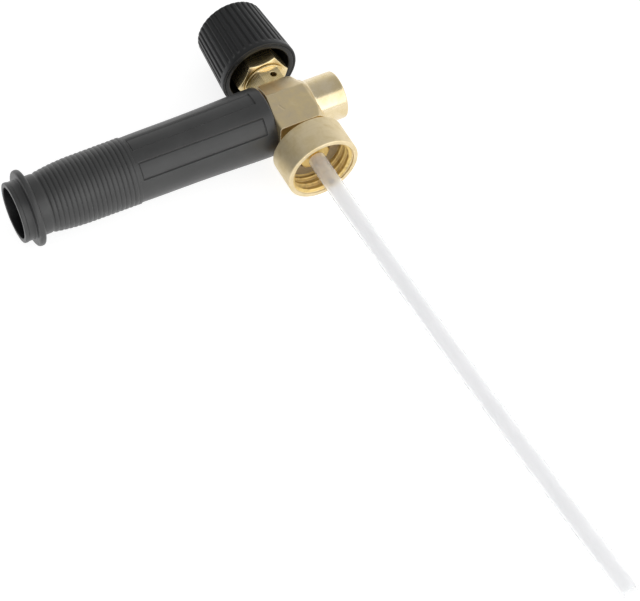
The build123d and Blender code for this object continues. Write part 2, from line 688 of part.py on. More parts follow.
def knob_blank():
    """Hollow skirt with a rounded rim, a roof and a central hub."""
    rim_height = KNOB_BOTTOM + KNOB_RIM_ROUND
    rim_middle = (KNOB_OPENING_RADIUS + knob_side_radius(rim_height)) / 2
    shoulder = KNOB_TOP - KNOB_TOP_ROUND
    with BuildPart() as blank:
        with BuildSketch():
            with BuildLine():
                ThreePointArc(
                    (KNOB_OPENING_RADIUS, rim_height),
                    (rim_middle, KNOB_BOTTOM),
                    (knob_side_radius(rim_height), rim_height),
                )
                Line((knob_side_radius(rim_height), rim_height), (knob_side_radius(shoulder), shoulder))
                ThreePointArc(
                    (knob_side_radius(shoulder), shoulder),
                    (KNOB_TOP_RADIUS - END_ROUND_SAG * KNOB_TOP_ROUND,
                     KNOB_TOP - END_ROUND_SAG * KNOB_TOP_ROUND),
                    (KNOB_TOP_RADIUS - KNOB_TOP_ROUND, KNOB_TOP),
                )
                Polyline(
                    (KNOB_TOP_RADIUS - KNOB_TOP_ROUND, KNOB_TOP),
                    (0, KNOB_TOP),
                    (0, HUB_BOTTOM),
                    (HUB_RADIUS - STEM_CHAMFER, HUB_BOTTOM),
                    (HUB_RADIUS, HUB_BOTTOM + STEM_CHAMFER),
                    (HUB_RADIUS, KNOB_ROOF),
                    (KNOB_OPENING_RADIUS - KNOB_SKIRT_DRAFT, KNOB_ROOF),
                    (KNOB_OPENING_RADIUS, rim_height),
                )
            make_face()
        revolve(axis=Axis.Y)
    return blank.part


def knob_grooves():
    """Tapered row of grip grooves that stop short of the plain rim band."""
    sink = KNOB_GROOVE_RADIUS - KNOB_GROOVE_DEPTH
    start = (knob_side_radius(KNOB_GROOVE_START) + sink, KNOB_GROOVE_START, 0)
    end = (knob_side_radius(KNOB_TOP + 2) + sink, KNOB_TOP + 2, 0)
    line = Vector(*end) - Vector(*start)
    groove = Plane(origin=start, z_dir=line) * Cylinder(KNOB_GROOVE_RADIUS, line.length, align=FROM_START)
    groove = groove + Pos(*start) * Sphere(KNOB_GROOVE_RADIUS)
    step = 360 / KNOB_GROOVES
    return [Rot(0, step * i + KNOB_GROOVE_PHASE, 0) * groove for i in range(KNOB_GROOVES)]


def knob():
    """Black ribbed knob with the flatted bore for the stem and the recess for its cover."""
    bore = rod(ALONG_Y, STEM_RADIUS + FIT, HUB_BOTTOM - 1, STEM_TOP + 0.1)
    flat = Pos(0, (HUB_BOTTOM + STEM_TOP) / 2, STEM_FLAT + FIT + 2) * Box(12, STEM_TOP + 4 - HUB_BOTTOM, 4)
    bore = bore - flat
    screw_hole = rod(ALONG_Y, SCREW_RADIUS + 0.2, STEM_TOP, KNOB_TOP)
    head_seat = rod(ALONG_Y, SCREW_HEAD_RADIUS + 0.3, SCREW_SEAT, KNOB_TOP)
    cover_seat = rod(ALONG_Y, KNOB_CAP_RADIUS + FIT, KNOB_CAP_SEAT, KNOB_TOP + 1)
    return knob_blank() - bore - screw_hole - head_seat - cover_seat - knob_grooves()


def knob_screw():
    """Cross-recessed screw that holds the knob on the stem."""
    shank = rod(ALONG_Y, SCREW_RADIUS, STEM_TOP - SCREW_REACH, SCREW_SEAT)
    head = rod(ALONG_Y, SCREW_HEAD_RADIUS, SCREW_SEAT, SCREW_SEAT + SCREW_HEAD_HEIGHT)
    head = fillet(head.edges().sort_by(Axis.Y)[-1], 0.8)
    recess_height = SCREW_SEAT + SCREW_HEAD_HEIGHT
    slots = [Pos(0, recess_height, 0) * Rot(0, turn, 0) * Box(*SCREW_RECESS) for turn in (0, 90)]
    return shank + head - slots


def knob_cap():
    """Snap-in disc that covers the screw, with a shallow ring groove."""
    top = KNOB_TOP - KNOB_CAP_SUNK
    groove_radius = 0.75 * KNOB_CAP_RADIUS
    groove = ring(ALONG_Y, groove_radius, groove_radius - 0.6, top - 0.3, top + 1)
    disc = rod(ALONG_Y, KNOB_CAP_RADIUS, KNOB_CAP_SEAT, top)
    return chamfer(disc.edges().sort_by(Axis.Y)[-1], KNOB_CAP_SUNK) - groove


# ---- bottle cap, barb and dip tube ------------------------------------------
def bottle_cap():
    """Turned brass cap with a coarse internal thread for the bottle's neck."""
    roof = CAP_TOP - CAP_ROOF
    bore = STUB_RADIUS + FIT
    cap = turned_y(
        (CAP_TOP, bore),
        (CAP_TOP, CAP_RADIUS - CAP_CHAMFER),
        (CAP_TOP - CAP_CHAMFER, CAP_RADIUS),
        (CAP_RIM + CAP_CHAMFER, CAP_RADIUS),
        (CAP_RIM, CAP_RADIUS - CAP_CHAMFER),
        (CAP_RIM, CAP_RADIUS - 4 * CAP_CHAMFER),
        (CAP_RIM + CAP_MOUTH_CHAMFER, CAP_THREAD_RADIUS),
        (roof, CAP_THREAD_RADIUS),
        (roof, bore),
    )
    first = CAP_RIM + CAP_THREAD_START
    grooves = [thread_groove(first + i * CAP_THREAD_PITCH) for i in range(CAP_THREAD_TURNS)]
    return cap - grooves


def thread_groove(centre):
    """One turn of the cap's thread, as a round-bottomed annular groove."""
    half = CAP_THREAD_WIDTH / 2
    flat = CAP_THREAD_WIDTH / 5
    return turned_y(
        (centre - half, CAP_THREAD_RADIUS - 0.5),
        (centre - half, CAP_THREAD_RADIUS),
        (centre - flat, CAP_THREAD_ROOT),
        (centre + flat, CAP_THREAD_ROOT),
        (centre + half, CAP_THREAD_RADIUS),
        (centre + half, CAP_THREAD_RADIUS - 0.5),
    )


def cap_gasket():
    """Flat washer that seals on the bottle's lip."""
    roof = CAP_TOP - CAP_ROOF
    inner = BARB_FLATS / 2 / cos(radians(30)) + 0.25
    return ring(ALONG_Y, CAP_THREAD_RADIUS - 2 * FIT, inner, roof - GASKET_THICKNESS, roof)


def hose_barb():
    """Hexagon nipple: clamps the cap to the body and carries the dip tube."""
    roof = CAP_TOP - CAP_ROOF
    collar_end = roof - BARB_COLLAR
    crest = TUBE_BORE_RADIUS - FIT
    collar = hex_y(BARB_FLATS, collar_end, roof, 0)
    collar = collar & nut_chamfer_y(BARB_FLATS, collar_end, roof, upper=False)
    thread = rod(ALONG_Y, BARB_THREAD_RADIUS, roof, BARB_THREAD_TOP)
    pipe = rod(ALONG_Y, crest - BARB_HEIGHT + FIT, BARB_END, collar_end)
    tops = [TUBE_TOP - BARB_FIRST - BARB_SPACING * i for i in range(BARB_COUNT)]
    ramp_end = crest - BARB_HEIGHT
    barbs = [
        turned_y((top, 0), (top, crest), (top - BARB_RAMP, ramp_end), (top - BARB_RAMP, 0))
        for top in tops
    ]
    bore = rod(ALONG_Y, BARB_BORE_RADIUS, BARB_END - 1, BARB_THREAD_TOP + 1)
    return collar + thread + pipe + barbs - bore


def dip_tube():
    """Semi-rigid suction tube: straight over the barbs, then a slight sideways bow."""
    points = [(drift, height) for height, drift in TUBE_LINE]
    path = Spline(*points, tangents=[(0, -1), (0.055, -1)])
    section = Plane(origin=path @ 0, z_dir=path % 0) * (Circle(TUBE_RADIUS) - Circle(TUBE_BORE_RADIUS))
    return sweep(section, path)


# ---- assembly ---------------------------------------------------------------
NODES = (
    brass_body,
    foam_barrel,
    barrel_o_ring,
    mixing_tube,
    mixing_tube_o_ring,
    jet_nozzle,
    jet_o_ring,
    mesh_cartridge,
    foam_gauze,
    mesh_retainer,
    valve_bonnet,
    bonnet_o_ring,
    air_valve_seat,
    gland_nut,
    gland_packing,
    valve_stem,
    stem_o_ring,
    knob,
    knob_screw,
    knob_cap,
    bottle_cap,
    cap_gasket,
    hose_barb,
    dip_tube,
)

for make_node in NODES:
    node = Pos(-INLET_REACH, 0, 0) * make_node()
    export_step(node, f"parts/{make_node.__name__}.step")
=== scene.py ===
import json
import math

import bpy
import numpy as np
from mathutils import Matrix, Vector


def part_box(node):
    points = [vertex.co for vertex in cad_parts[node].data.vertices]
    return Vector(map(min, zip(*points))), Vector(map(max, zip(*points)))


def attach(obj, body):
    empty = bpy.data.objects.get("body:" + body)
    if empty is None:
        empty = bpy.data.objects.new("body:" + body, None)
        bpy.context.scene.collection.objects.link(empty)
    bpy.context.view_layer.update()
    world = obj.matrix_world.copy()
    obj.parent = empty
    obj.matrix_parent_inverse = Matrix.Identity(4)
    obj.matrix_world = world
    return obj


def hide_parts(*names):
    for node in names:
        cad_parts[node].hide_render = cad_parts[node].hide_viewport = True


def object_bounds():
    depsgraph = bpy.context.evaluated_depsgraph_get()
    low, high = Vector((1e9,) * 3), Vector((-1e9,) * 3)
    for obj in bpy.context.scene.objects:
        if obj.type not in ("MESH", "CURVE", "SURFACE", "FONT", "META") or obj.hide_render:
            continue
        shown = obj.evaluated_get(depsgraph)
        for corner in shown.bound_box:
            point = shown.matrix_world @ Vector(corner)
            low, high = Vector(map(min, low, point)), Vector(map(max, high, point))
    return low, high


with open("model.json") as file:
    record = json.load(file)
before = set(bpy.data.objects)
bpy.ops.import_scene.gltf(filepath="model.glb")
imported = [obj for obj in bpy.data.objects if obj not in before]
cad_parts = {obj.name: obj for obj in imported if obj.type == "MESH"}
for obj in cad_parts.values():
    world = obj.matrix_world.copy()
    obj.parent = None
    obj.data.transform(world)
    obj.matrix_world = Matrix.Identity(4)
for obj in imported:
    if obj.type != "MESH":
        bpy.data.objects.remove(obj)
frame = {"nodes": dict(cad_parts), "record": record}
cad_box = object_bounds()

MM = 0.001

# Lengths are millimetres from the tee's centre, where the water axis (X) and the valve
# axis (Y) cross, unless a comment says metres. Angles are degrees from +Z, towards +Y
# about X and towards +X about Y. Colours are linear.
TEE = Vector((sum(corner.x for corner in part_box("bottle_cap")) / 2, 0, 0))


# ---- node helpers -----------------------------------------------------------
def set_stops(ramp, stops):
    """Puts (position, grey or colour) stops on a colour ramp node."""
    elements = ramp.color_ramp.elements
    while len(elements) < len(stops):
        elements.new(0.5)
    for element, (position, colour) in zip(elements, stops):
        grey = isinstance(colour, (int, float))
        element.position = position
        element.color = (colour,) * 3 + (1,) if grey else (*colour, 1)


class Shader:
    """A material with a Principled shader and short calls for its node tree."""

    def __init__(self, name, **constants):
        self.material = bpy.data.materials.new(name)
        self.material.use_nodes = True
        self.tree = self.material.node_tree
        self.principled = self.tree.nodes["Principled BSDF"]
        for socket, value in constants.items():
            self.principled.inputs[socket.replace("_", " ")].default_value = value
        self.place = self.node("ShaderNodeTexCoord").outputs["Object"]

    def node(self, kind, inputs=None, **settings):
        node = self.tree.nodes.new(kind)
        for key, value in settings.items():
            setattr(node, key, value)
        for key, value in (inputs or {}).items():
            self.feed(node.inputs[key], value)
        return node

    def feed(self, socket, value):
        if isinstance(value, bpy.types.NodeSocket):
            self.tree.links.new(value, socket)
        else:
            socket.default_value = value

    def stretched(self, scale):
        """Object coordinates scaled by a factor on each axis, per metre."""
        mapping = self.node("ShaderNodeMapping", {"Vector": self.place, "Scale": scale})
        return mapping.outputs["Vector"]

    def noise(self, scale, detail=4.0, roughness=0.55, place=None, distortion=0.0):
        """Noise value from 0 to 1; scale is in cells per metre."""
        noise = self.node("ShaderNodeTexNoise", {
            "Vector": place or self.place,
            "Scale": scale,
            "Detail": detail,
            "Roughness": roughness,
            "Distortion": distortion,
        })
        return noise.outputs["Fac"]

    def ramp(self, value, *stops):
        """Colour ramp; each stop is (position, grey or colour)."""
        ramp = self.node("ShaderNodeValToRGB", {"Fac": value})
        set_stops(ramp, stops)
        return ramp.outputs["Color"]

    def span(self, value, low, high, to_low, to_high):
        """Linear map of a value from one range to another, clamped."""
        return self.node("ShaderNodeMapRange", {
            "Value": value,
            "From Min": low,
            "From Max": high,
            "To Min": to_low,
            "To Max": to_high,
        }).outputs["Result"]

    def math(self, operation, a, b=0.5):
        return self.node("ShaderNodeMath", {0: a, 1: b}, operation=operation).outputs[0]

    def axis(self, letter):
        """One coordinate, in millimetres from the tee's centre."""
        metres = self.node("ShaderNodeSeparateXYZ", {0: self.place}).outputs[letter]
        offset = self.math("SUBTRACT", metres, getattr(TEE, letter.lower()))
        return self.math("DIVIDE", offset, MM)

    def radius(self, first, second):
        """Distance from the tee's centre in the plane of two axes, in millimetres."""
        places = [self.axis(letter) for letter in (first, second)]
        squares = [self.math("MULTIPLY", place, place) for place in places]
        return self.math("SQRT", self.math("ADD", *squares))

    def mix_value(self, factor, a, b):
        """Mix of two plain values."""
        mix = self.node("ShaderNodeMix", data_type="FLOAT")
        for index, value in ((0, factor), (2, a), (3, b)):
            self.feed(mix.inputs[index], value)
        return mix.outputs[0]

    def blend(self, factor, a, b):
        """Mix of two colours."""
        mix = self.node("ShaderNodeMix", data_type="RGBA")
        for index, value in ((0, factor), (6, a), (7, b)):
            colour = not isinstance(value, (bpy.types.NodeSocket, int, float))
            self.feed(mix.inputs[index], (*value, 1) if colour else value)
        return mix.outputs[2]

    def edges(self, reach):
        """1 on convex edges and 0 elsewhere, from the mesh's own curvature."""
        pointiness = self.node("ShaderNodeNewGeometry").outputs["Pointiness"]
        return self.span(pointiness, 0.5 + reach, 0.5 + 3 * reach, 0.0, 1.0)

    def bump(self, *layers):
        """Bump from (height, depth in millimetres) layers, stacked in order."""
        normal = None
        for height, depth in layers:
            inputs = {"Height": height, "Distance": depth * MM, "Strength": 1.0}
            if normal is not None:
                inputs["Normal"] = normal
            normal = self.node("ShaderNodeBump", inputs).outputs["Normal"]
        return normal

    def finish(self, **links):
        for socket, value in links.items():
            self.feed(self.principled.inputs[socket.replace("_", " ")], value)
        return self.material


# ---- materials --------------------------------------------------------------
BRASS_LIGHT = (0.79, 0.675, 0.465)
BRASS_DEEP = (0.71, 0.58, 0.335)
BRASS_DULL = (0.62, 0.52, 0.36)
BRASS_GOLD = (0.80, 0.61, 0.25)
BRASS_BROWN = (0.46, 0.31, 0.14)
# orange on the shoulder: tarnish and a painted reflection of the brass bonnet
BRASS_TARNISH_AND_REFLECTION = (0.84, 0.56, 0.27)
HEXAGON_DEEP = (0.70, 0.54, 0.22)
HEXAGON_LIGHT = (0.86, 0.70, 0.40)
CAP_DEEP = (0.73, 0.60, 0.34)
CAP_LIGHT = (0.83, 0.71, 0.47)
KNOB_BLACKS = ((0.0055, 0.006, 0.0065), (0.009, 0.0095, 0.010), (0.045, 0.047, 0.05))
BARREL_BLACKS = ((0.031, 0.0315, 0.0315), (0.041, 0.0415, 0.041), (0.055, 0.055, 0.055))
# painted shade down the barrel's bore
BORE_SHADE_BLACK = (0.003, 0.003, 0.004)

FLAT_TOP = 3.0               # the forging's flats end and its turned shoulder begins
FLAT_TOP_RAGGED = 0.6
BOSS_START = 10.8            # the turned inlet boss begins
BOSS_FADE = 0.8
TARNISH_AND_REFLECTION_START = -10.0        # heaviest tarnish and painted reflection of the bonnet, next to the barrel
TARNISH_AND_REFLECTION_END = 6.0            # lightest tarnish and painted reflection
CAP_INSIDE = 15.1
BARREL_INSIDE = 12.1
INSIDE_FADE = 0.4            # width of the change of colour at a bore's edge


def forged_brass():
    """Tumbled satin flats; the shoulder above them is turned and satin, with tarnish streaks and a
    painted orange reflection of the brass bonnet towards the barrel.

    The inlet boss is turned bright."""
    s = Shader("forged_brass", Metallic=1.0)
    cloud = s.noise(120, detail=5.0, roughness=0.6)
    mottle = s.noise(900, detail=6.0, roughness=0.65)
    grain = s.noise(5200, detail=3.0, roughness=0.7)
    lines = s.noise(1.0, detail=3.0, roughness=0.6, place=s.stretched((9000.0, 40.0, 40.0)))
    streaks = s.noise(1.0, detail=2.0, place=s.stretched((150.0, 12.0, 12.0)))
    pits = s.node("ShaderNodeTexVoronoi", {"Vector": s.place, "Scale": 2600.0}).outputs["Distance"]

    ragged = s.span(cloud, 0.3, 0.7, -FLAT_TOP_RAGGED, FLAT_TOP_RAGGED)
    height = s.math("ADD", s.axis("Y"), ragged)
    shoulder = s.span(height, FLAT_TOP - 0.4, FLAT_TOP + 0.8, 0.0, 1.0)
    boss = s.span(s.axis("X"), BOSS_START, BOSS_START + BOSS_FADE, 0.0, 1.0)
    not_boss = s.math("SUBTRACT", 1.0, boss)
    machined = s.math("MAXIMUM", shoulder, boss)

    # Painted reflection: towards the barrel the shoulder is painted orange as if it reflected the brass
    # bonnet; streaks break it up as tarnish.
    tarnish_and_reflection = s.span(s.axis("X"), TARNISH_AND_REFLECTION_START, TARNISH_AND_REFLECTION_END, 0.85, 0.1)
    tarnish_and_reflection = s.math("MULTIPLY", tarnish_and_reflection, s.span(streaks, 0.38, 0.60, 1.0, 0.45))
    tarnish_and_reflection = s.math("MULTIPLY", tarnish_and_reflection, not_boss)
    specks = s.math("MULTIPLY", tarnish_and_reflection, s.span(mottle, 0.4, 0.7, 0.0, 0.4))
    satin = s.ramp(cloud, (0.30, BRASS_DULL), (0.55, BRASS_DEEP), (0.75, BRASS_LIGHT))
    turned = s.ramp(cloud, (0.32, BRASS_DEEP), (0.6, BRASS_LIGHT))
    stains_and_reflection = s.blend(specks, s.blend(tarnish_and_reflection, turned, BRASS_TARNISH_AND_REFLECTION), BRASS_BROWN)
    colour = s.blend(machined, satin, s.blend(shoulder, turned, stains_and_reflection))
    colour = s.blend(s.edges(0.012), colour, BRASS_LIGHT)

    satin_rough = s.span(mottle, 0.3, 0.75, 0.44, 0.34)
    turned_rough = s.math("ADD", s.span(lines, 0.3, 0.7, 0.13, 0.20), s.span(cloud, 0.3, 0.7, 0.05, 0.0))
    turned_rough = s.math("ADD", turned_rough, s.math("MULTIPLY", not_boss, 0.17))
    rough = s.mix_value(machined, satin_rough, turned_rough)

    share = s.span(machined, 0.0, 1.0, 1.0, 0.12)
    hills, bumps, dust = (s.math("MULTIPLY", layer, share) for layer in (cloud, mottle, grain))
    normal = s.bump((hills, 0.06), (bumps, 0.028), (dust, 0.01), (pits, 0.003), (lines, 0.0025))
    return s.finish(Base_Color=colour, Roughness=rough, Normal=normal)


def turned_brass(name, axis, deep=BRASS_DEEP, light=BRASS_LIGHT, rough=(0.14, 0.24), inside=None):
    """Lathe-turned brass: fine lines across the axis, faint stains and handling marks.

    Nearer the valve axis than the inside radius, the colour turns a darker brown-gold: painted shade and
    painted reflection of the brass around the bore."""
    s = Shader(name, Metallic=1.0)
    along = (9000.0, 30.0, 30.0) if axis == "X" else (30.0, 9000.0, 30.0)
    wide = (900.0, 10.0, 10.0) if axis == "X" else (10.0, 900.0, 10.0)
    lines = s.noise(1.0, detail=3.0, roughness=0.6, place=s.stretched(along))
    bands = s.noise(1.0, detail=2.0, roughness=0.5, place=s.stretched(wide))
    stain = s.noise(170, detail=5.0, roughness=0.6, distortion=0.4)
    marks = s.noise(2400, detail=4.0, roughness=0.7)
    colour = s.ramp(stain, (0.32, deep), (0.58, light))
    colour = s.blend(s.span(lines, 0.35, 0.7, 0.0, 0.22), colour, BRASS_DULL)
    colour = s.blend(s.edges(0.02), colour, light)
    if inside:
        # Painted shade and reflection: the bore is painted brown-gold.
        painted_bore_shade = s.span(s.radius("X", "Z"), inside, inside - INSIDE_FADE, 0.0, 1.0)
        colour = s.blend(painted_bore_shade, colour, s.ramp(stain, (0.3, BRASS_BROWN), (0.5, BRASS_GOLD)))
    shine = s.math("ADD", s.span(lines, 0.3, 0.7, *rough), s.span(stain, 0.3, 0.7, 0.06, 0.0))
    normal = s.bump((bands, 0.01), (lines, 0.0035), (marks, 0.0025))
    return s.finish(Base_Color=colour, Roughness=shine, Normal=normal)


def black_plastic(name, ior, blacks, inside=None):
    """Moulded black plastic: fine spark-eroded grain, slight greying on the crests.

    Nearer the water axis than the inside radius, the plastic is painted blacker: painted shade down the
    bore."""
    dark, light, crest = blacks
    s = Shader(name, IOR=ior)
    cloud = s.noise(90, detail=4.0)
    grain = s.noise(6500, detail=3.0, roughness=0.65)
    flow = s.noise(1.0, detail=4.0, roughness=0.6, place=s.stretched((40.0, 500.0, 500.0)))
    scuffs = s.noise(420, detail=6.0, roughness=0.7, distortion=0.6)
    colour = s.ramp(cloud, (0.3, dark), (0.7, light))
    colour = s.blend(s.edges(0.02), colour, crest)
    if inside:
        # Painted shade: the bore is painted near black.
        painted_bore_shade = s.span(s.radius("Y", "Z"), inside, inside - INSIDE_FADE, 0.0, 1.0)
        colour = s.blend(painted_bore_shade, colour, BORE_SHADE_BLACK)
    rough = s.math("ADD", s.span(grain, 0.3, 0.7, 0.31, 0.44), s.span(flow, 0.3, 0.7, -0.03, 0.05))
    rough = s.math("ADD", rough, s.span(scuffs, 0.55, 0.72, 0.0, 0.07))
    normal = s.bump((flow, 0.014), (grain, 0.012))
    return s.finish(Base_Color=colour, Roughness=rough, Normal=normal)


def rubber(name, dark, light):
    """Matt seal rubber with a dusty bloom."""
    s = Shader(name, IOR=1.5)
    bloom = s.noise(700, detail=5.0, roughness=0.6)
    grain = s.noise(5000, detail=2.0)
    colour = s.ramp(bloom, (0.3, dark), (0.72, light))
    rough = s.span(bloom, 0.3, 0.7, 0.62, 0.82)
    return s.finish(Base_Color=colour, Roughness=rough, Normal=s.bump((grain, 0.02)))


def moulded_white():
    """Natural nylon: creamy, a little light passes under the surface."""
    s = Shader("moulded_white", IOR=1.5, Subsurface_Weight=0.25, Subsurface_Scale=0.002)
    cloud = s.noise(400, detail=4.0)
    grain = s.noise(4200, detail=3.0)
    colour = s.ramp(cloud, (0.3, (0.72, 0.71, 0.66)), (0.7, (0.82, 0.81, 0.77)))
    rough = s.span(cloud, 0.3, 0.7, 0.38, 0.52)
    return s.finish(Base_Color=colour, Roughness=rough, Normal=s.bump((grain, 0.01)))


def zinc_steel():
    """Zinc-plated screw steel with a bluish cast."""
    s = Shader("zinc_steel", Metallic=1.0)
    cloud = s.noise(900, detail=5.0)
    grain = s.noise(6000, detail=3.0)
    colour = s.ramp(cloud, (0.3, (0.56, 0.58, 0.60)), (0.7, (0.72, 0.73, 0.74)))
    rough = s.span(cloud, 0.3, 0.7, 0.24, 0.4)
    return s.finish(Base_Color=colour, Roughness=rough, Normal=s.bump((grain, 0.005)))


def wire_gauze():
    """Knitted stainless wire seen end-on as a crumpled roll."""
    s = Shader("wire_gauze", Metallic=1.0)
    cells = {"Vector": s.place, "Scale": 1500.0}
    mesh = s.node("ShaderNodeTexVoronoi", cells, feature="DISTANCE_TO_EDGE")
    wires = s.span(mesh.outputs["Distance"], 0.0, 0.16, 1.0, 0.0)
    shade = s.noise(900, detail=4.0)
    # The cells between the wires are painted near-black: painted shade in the gaps of the roll.
    colour = s.blend(wires, (0.04, 0.04, 0.04), s.ramp(shade, (0.3, 0.42), (0.7, 0.66)))
    rough = s.span(wires, 0.0, 1.0, 0.8, 0.3)
    return s.finish(Base_Color=colour, Roughness=rough, Normal=s.bump((wires, 0.3)))


def natural_tube():
    """Natural polyethylene tube: milky, lets light and the barb's shape through."""
    s = Shader("natural_tube", IOR=1.04, Transmission_Weight=0.7)
    streaks = s.noise(1.0, detail=4.0, roughness=0.6, place=s.stretched((1500.0, 14.0, 1500.0)))
    haze = s.noise(110, detail=4.0)
    scuffs = s.noise(1.0, detail=5.0, roughness=0.7, place=s.stretched((900.0, 160.0, 900.0)))
    colour = s.ramp(haze, (0.3, (0.955, 0.96, 0.965)), (0.7, (0.98, 0.98, 0.985)))
    rough = s.math("ADD", s.span(streaks, 0.3, 0.7, 0.40, 0.48), s.span(scuffs, 0.5, 0.75, 0.0, 0.16))
    normal = s.bump((streaks, 0.006), (scuffs, 0.004))
    return s.finish(Base_Color=colour, Roughness=rough, Normal=normal)


MATERIALS = {
    "brass_forged": forged_brass(),
    "turned_x": turned_brass("turned_brass_x", "X"),
    "turned_y": turned_brass("turned_brass_y", "Y"),
    "black_plastic": black_plastic("knob_plastic", 1.42, KNOB_BLACKS),
    "barrel_plastic": black_plastic("barrel_plastic", 1.5, BARREL_BLACKS, BARREL_INSIDE),
    "hexagon_brass": turned_brass("satin_hexagons", "Y", HEXAGON_DEEP, HEXAGON_LIGHT, (0.20, 0.30)),
    "turned_cap": turned_brass("satin_brass_y", "Y", CAP_DEEP, CAP_LIGHT, (0.46, 0.56), CAP_INSIDE),
    "black_rubber": rubber("black_rubber", (0.012, 0.012, 0.012), (0.035, 0.035, 0.035)),
    "grey_rubber": rubber("grey_rubber", (0.26, 0.19, 0.10), (0.35, 0.27, 0.155)),
    "white_plastic": moulded_white(),
    "zinc_screw": zinc_steel(),
    "steel_gauze": wire_gauze(),
    "clear_tube": natural_tube(),
}
ALONG_WATER = ("mixing_tube", "jet_nozzle")      # turned pieces that lie along the water axis
OWN_LOOK = {
    "foam_barrel": "barrel_plastic",
    "bottle_cap": "turned_cap",
    "hose_barb": "turned_cap",
    "valve_bonnet": "hexagon_brass",
    "gland_nut": "hexagon_brass",
}
SLOTS = {part["node"]: part["material_slot"] for part in frame["record"]["subparts"]}


def material_for(node):
    """The look that stands for a node's slot in the record."""
    slot = SLOTS[node]
    if node in OWN_LOOK:
        return MATERIALS[OWN_LOOK[node]]
    if slot == "brass_turned":
        return MATERIALS["turned_x" if node in ALONG_WATER else "turned_y"]
    return MATERIALS[slot]


def paint(piece, material):
    piece.data.materials.clear()
    piece.data.materials.append(material)


def stand_for(piece, node, body):
    """Gives a piece its material and enters it in place of its CAD node."""
    paint(piece, material_for(node))
    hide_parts(node)
    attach(piece, body)


# ---- mesh helpers -----------------------------------------------------------
def new_piece(name, vertices, faces, node, body):
    """A smooth-shaded mesh piece that stands for a CAD node."""
    mesh = bpy.data.meshes.new(name)
    mesh.from_pydata([tuple(v) for v in vertices], [], faces)
    mesh.validate()
    mesh.shade_smooth()
    piece = bpy.data.objects.new(name, mesh)
    bpy.context.scene.collection.objects.link(piece)
    stand_for(piece, node, body)


def rounded(corners, steps=6):
    """Closed outline through (position, radius, trim) corners, each trimmed to a small curve."""
    points = []
    count = len(corners)
    for i, (position, radius, trim) in enumerate(corners):
        here = Vector((position, radius))
        if trim <= 0:
            points.append(here)
            continue
        before = Vector(corners[i - 1][:2]) - here
        after = Vector(corners[(i + 1) % count][:2]) - here
        start = here + before.normalized() * min(trim, before.length / 2)
        end = here + after.normalized() * min(trim, after.length / 2)
        for k in range(steps + 1):
            t = k / steps
            points.append(start * (1 - t) ** 2 + here * (2 * t * (1 - t)) + end * t ** 2)
    return points


def divided(points, longest):
    """The same closed outline with no run longer than a given length."""
    result = []
    for a, b in zip(points, points[1:] + points[:1]):
        runs = max(1, math.ceil((b - a).length / longest))
        result.extend(a.lerp(b, k / runs) for k in range(runs))
    return result


def even_angles(count):
    return np.arange(count) * (360 / count)


def ring_faces(rows, columns):
    """Quads between rings of vertices; the last ring joins the first."""
    faces = []
    for i in range(rows):
        j = (i + 1) % rows
        for k in range(columns):
            m = (k + 1) % columns
            faces.append((i * columns + k, j * columns + k, j * columns + m, i * columns + m))
    return faces


def turned(outline, angles, axis, shape=None):
    """Vertices and faces of a closed outline swept round an axis.

    shape(position, radius, angles) may return a new radius for each angle."""
    turns = np.radians(angles)
    rings = []
    for position, radius in outline:
        radii = np.full(len(angles), radius)
        if shape is not None:
            radii = shape(position, radius, angles)
        across, up = radii * np.sin(turns), radii * np.cos(turns)
        run = np.full(len(angles), position)
        ring = (run, across, up) if axis == "X" else (across, run, up)
        rings.append(np.stack(ring, axis=1))
    vertices = np.concatenate(rings) * MM + np.array(TEE)
    faces = ring_faces(len(outline), len(angles))
    return vertices, faces if axis == "X" else [face[::-1] for face in faces]


def smoothstep(low, high, value):
    t = np.clip((value - low) / (high - low), 0, 1)
    return t * t * (3 - 2 * t)


def angle_gap(angles, centre):
    """Signed degrees from a centre angle, between -180 and 180."""
    return (angles - centre + 180) % 360 - 180


# ---- barrel -----------------------------------------------------------------
BARREL_END = -10.9
BARREL_END_RADIUS = 16.15
BARREL_END_ROUND = 2.8
SEAL_POCKET_RADIUS = 12.4
SEAL_POCKET_END = -14.3
THREAD_BORE_RADIUS = 11.05
THREAD_BORE_END = -55.9
BARREL_BORE_RADIUS = 11.67
MOUTH = -131.85
LIP_RADIUS = 13.8
LIP_LENGTH = 1.6
NECK_RADIUS = 13.55          # behind the lip, up to the flange
COLLAR_RADIUS = 13.5         # behind the flange
COLLAR_END = -119.2
FLANGE_LEFT = -126.6
FLANGE_RIGHT = -123.5
FLANGE_RADIUS = 17.4
FLANGE_ROUND = 1.5
RIB_START = -118.0
RIB_PITCH = 2.17
RIB_COUNT = 18
RIB_DEPTH = 0.62
RIB_STEPS = 14               # outline points per rib
RIB_FLATNESS = 0.38          # below 1 the crests are broad and the valleys narrow
RIB_SWELL_LENGTH = 0.45      # share of the ribbed length
RIB_SWELL_SHARE = 0.83       # share of the gain in radius
GRIP_START_RADIUS = 13.65
GRIP_END_RADIUS = 15.42
GRIP_LAND_START = -78.64     # plain land between the last rib and the step
GRIP_STEP = -77.5
GRIP_STEP_RADIUS = 14.95
GRIP_SECTION = (
    (GRIP_STEP, GRIP_STEP_RADIUS),
    (-60, 15.17),
    (-40, 15.45),
    (-27, 15.8),
    (-19, 16.1),
    (BARREL_END - BARREL_END_ROUND, BARREL_END_RADIUS),
)
GRIP_LEAST_RADIUS = 14       # anything nearer the axis is inside the barrel
GRIP_ROW = 0.5
BARREL_COLUMNS = 240
PANEL_START = -76.3
PANEL_END = -16.2
PANEL_HALF_WIDTH = 4.25
PANEL_DEPTH = 0.5
PANEL_CORNER = 0.6
PANEL_GROOVE = 0.2           # extra depth of the outline just inside the wall
PANEL_GROOVE_PLACE = 0.42    # wall to the middle of the outline
PANEL_GROOVE_WIDTH = 0.3
